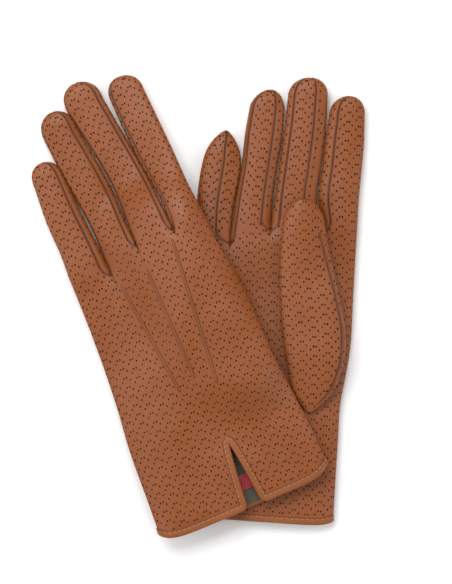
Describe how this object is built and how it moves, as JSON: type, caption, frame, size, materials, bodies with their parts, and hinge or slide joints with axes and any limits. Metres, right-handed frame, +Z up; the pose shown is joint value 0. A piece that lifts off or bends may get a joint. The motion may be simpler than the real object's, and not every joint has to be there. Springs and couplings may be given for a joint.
{
  "type": "pair of leather gloves",
  "caption": "Pair of perforated tan leather gloves lying crossed, one back up and one palm up, with vented, bound cuffs and a knitted lining.",
  "frame": {"origin": "bottom centre of the bounding box of the two gloves as they lie", "axes": "+Z up from the table, +Y towards the fingertips, +X towards the right glove, as seen from above"},
  "size_m": [0.1756, 0.2488, 0.0282],
  "materials": {
    "perforated_leather": "soft satin nappa, tan, with small slit perforations",
    "fourchette_leather": "soft satin nappa, tan, in the strips between the fingers",
    "binding_leather": "plain satin nappa, tan, rolled over the cuff edge",
    "knitted_lining": "fine dark olive-grey jersey knit",
    "label_satin": "red woven satin, plain"
  },
  "bodies": {
    "right_hand": {"right_cuff_binding": "binding_leather", "right_point_1": "perforated_leather", "right_point_2": "perforated_leather", "right_point_3": "perforated_leather", "right_back_panel": "perforated_leather", "right_palm_panel": "perforated_leather", "right_hand_lining": "knitted_lining", "right_label": "label_satin", "right_little_ring_fork": "fourchette_leather", "right_ring_middle_fork": "fourchette_leather", "right_middle_index_fork": "fourchette_leather"},
    "right_little_finger": {"right_little_fourchette": "fourchette_leather", "right_little_stall": "perforated_leather", "right_little_lining": "knitted_lining"},
    "right_ring_finger": {"right_ring_outer_fourchette": "fourchette_leather", "right_ring_inner_fourchette": "fourchette_leather", "right_ring_stall": "perforated_leather", "right_ring_lining": "knitted_lining"},
    "right_middle_finger": {"right_middle_outer_fourchette": "fourchette_leather", "right_middle_inner_fourchette": "fourchette_leather", "right_middle_stall": "perforated_leather", "right_middle_lining": "knitted_lining"},
    "right_index_finger": {"right_index_fourchette": "fourchette_leather", "right_index_stall": "perforated_leather", "right_index_lining": "knitted_lining"},
    "right_thumb": {"right_thumb_stall": "perforated_leather", "right_thumb_lining": "knitted_lining"},
    "left_hand": {"left_cuff_binding": "binding_leather", "left_point_1": "perforated_leather", "left_point_2": "perforated_leather", "left_point_3": "perforated_leather", "left_back_panel": "perforated_leather", "left_palm_panel": "perforated_leather", "left_hand_lining": "knitted_lining", "left_label": "label_satin", "left_little_ring_fork": "fourchette_leather", "left_ring_middle_fork": "fourchette_leather", "left_middle_index_fork": "fourchette_leather"},
    "left_little_finger": {"left_little_fourchette": "fourchette_leather", "left_little_stall": "perforated_leather", "left_little_lining": "knitted_lining"},
    "left_ring_finger": {"left_ring_outer_fourchette": "fourchette_leather", "left_ring_inner_fourchette": "fourchette_leather", "left_ring_stall": "perforated_leather", "left_ring_lining": "knitted_lining"},
    "left_middle_finger": {"left_middle_outer_fourchette": "fourchette_leather", "left_middle_inner_fourchette": "fourchette_leather", "left_middle_stall": "perforated_leather", "left_middle_lining": "knitted_lining"},
    "left_index_finger": {"left_index_fourchette": "fourchette_leather", "left_index_stall": "perforated_leather", "left_index_lining": "knitted_lining"},
    "left_thumb": {"left_thumb_stall": "perforated_leather", "left_thumb_lining": "knitted_lining"}
  },
  "joints": [
    {"name": "left_glove_lift", "type": "slide", "parent": "right_hand", "child": "left_hand", "axis": [0, 0, 1], "range_m": [0, 0.15]},
    {"name": "right_little_bend", "type": "hinge", "parent": "right_hand", "child": "right_little_finger", "pos_m": [0.0122, 0.06121, 0.0045], "axis": [0.9944, -0.106, 0], "range_deg": [0, 85]},
    {"name": "right_ring_bend", "type": "hinge", "parent": "right_hand", "child": "right_ring_finger", "pos_m": [0.03387, 0.06571, 0.0045], "axis": [0.9946, -0.1036, 0], "range_deg": [0, 85]},
    {"name": "right_middle_bend", "type": "hinge", "parent": "right_hand", "child": "right_middle_finger", "pos_m": [0.05556, 0.0662, 0.0045], "axis": [0.9963, -0.0861, 0], "range_deg": [0, 85]},
    {"name": "right_index_bend", "type": "hinge", "parent": "right_hand", "child": "right_index_finger", "pos_m": [0.07647, 0.06273, 0.0045], "axis": [0.9973, -0.0738, 0], "range_deg": [0, 85]},
    {"name": "right_thumb_open", "type": "hinge", "parent": "right_hand", "child": "right_thumb", "pos_m": [0.07281, -0.05007, 0.0094], "axis": [0.264, 0.9645, 0], "range_deg": [0, 150]},
    {"name": "left_little_bend", "type": "hinge", "parent": "left_hand", "child": "left_little_finger", "pos_m": [-0.06748, 0.03637, 0.0045], "axis": [-0.9319, -0.3627, 0], "range_deg": [0, 85]},
    {"name": "left_ring_bend", "type": "hinge", "parent": "left_hand", "child": "left_ring_finger", "pos_m": [-0.05105, 0.04987, 0.00518], "axis": [-0.9151, -0.4032, 0], "range_deg": [0, 85]},
    {"name": "left_middle_bend", "type": "hinge", "parent": "left_hand", "child": "left_middle_finger", "pos_m": [-0.03344, 0.0606, 0.00954], "axis": [-0.9108, -0.4129, 0], "range_deg": [0, 85]},
    {"name": "left_index_bend", "type": "hinge", "parent": "left_hand", "child": "left_index_finger", "pos_m": [-0.01425, 0.06657, 0.01414], "axis": [-0.923, -0.3848, 0], "range_deg": [0, 85]},
    {"name": "left_thumb_open", "type": "hinge", "parent": "left_hand", "child": "left_thumb", "pos_m": [0.03706, -0.03634, 0.0181], "axis": [0.2026, -0.9793, 0], "range_deg": [0, 120]}
  ],
  "couplings": [
    {"joint": "left_thumb_open", "follows": "left_glove_lift", "rad_per_m": 13.9}
  ]
}
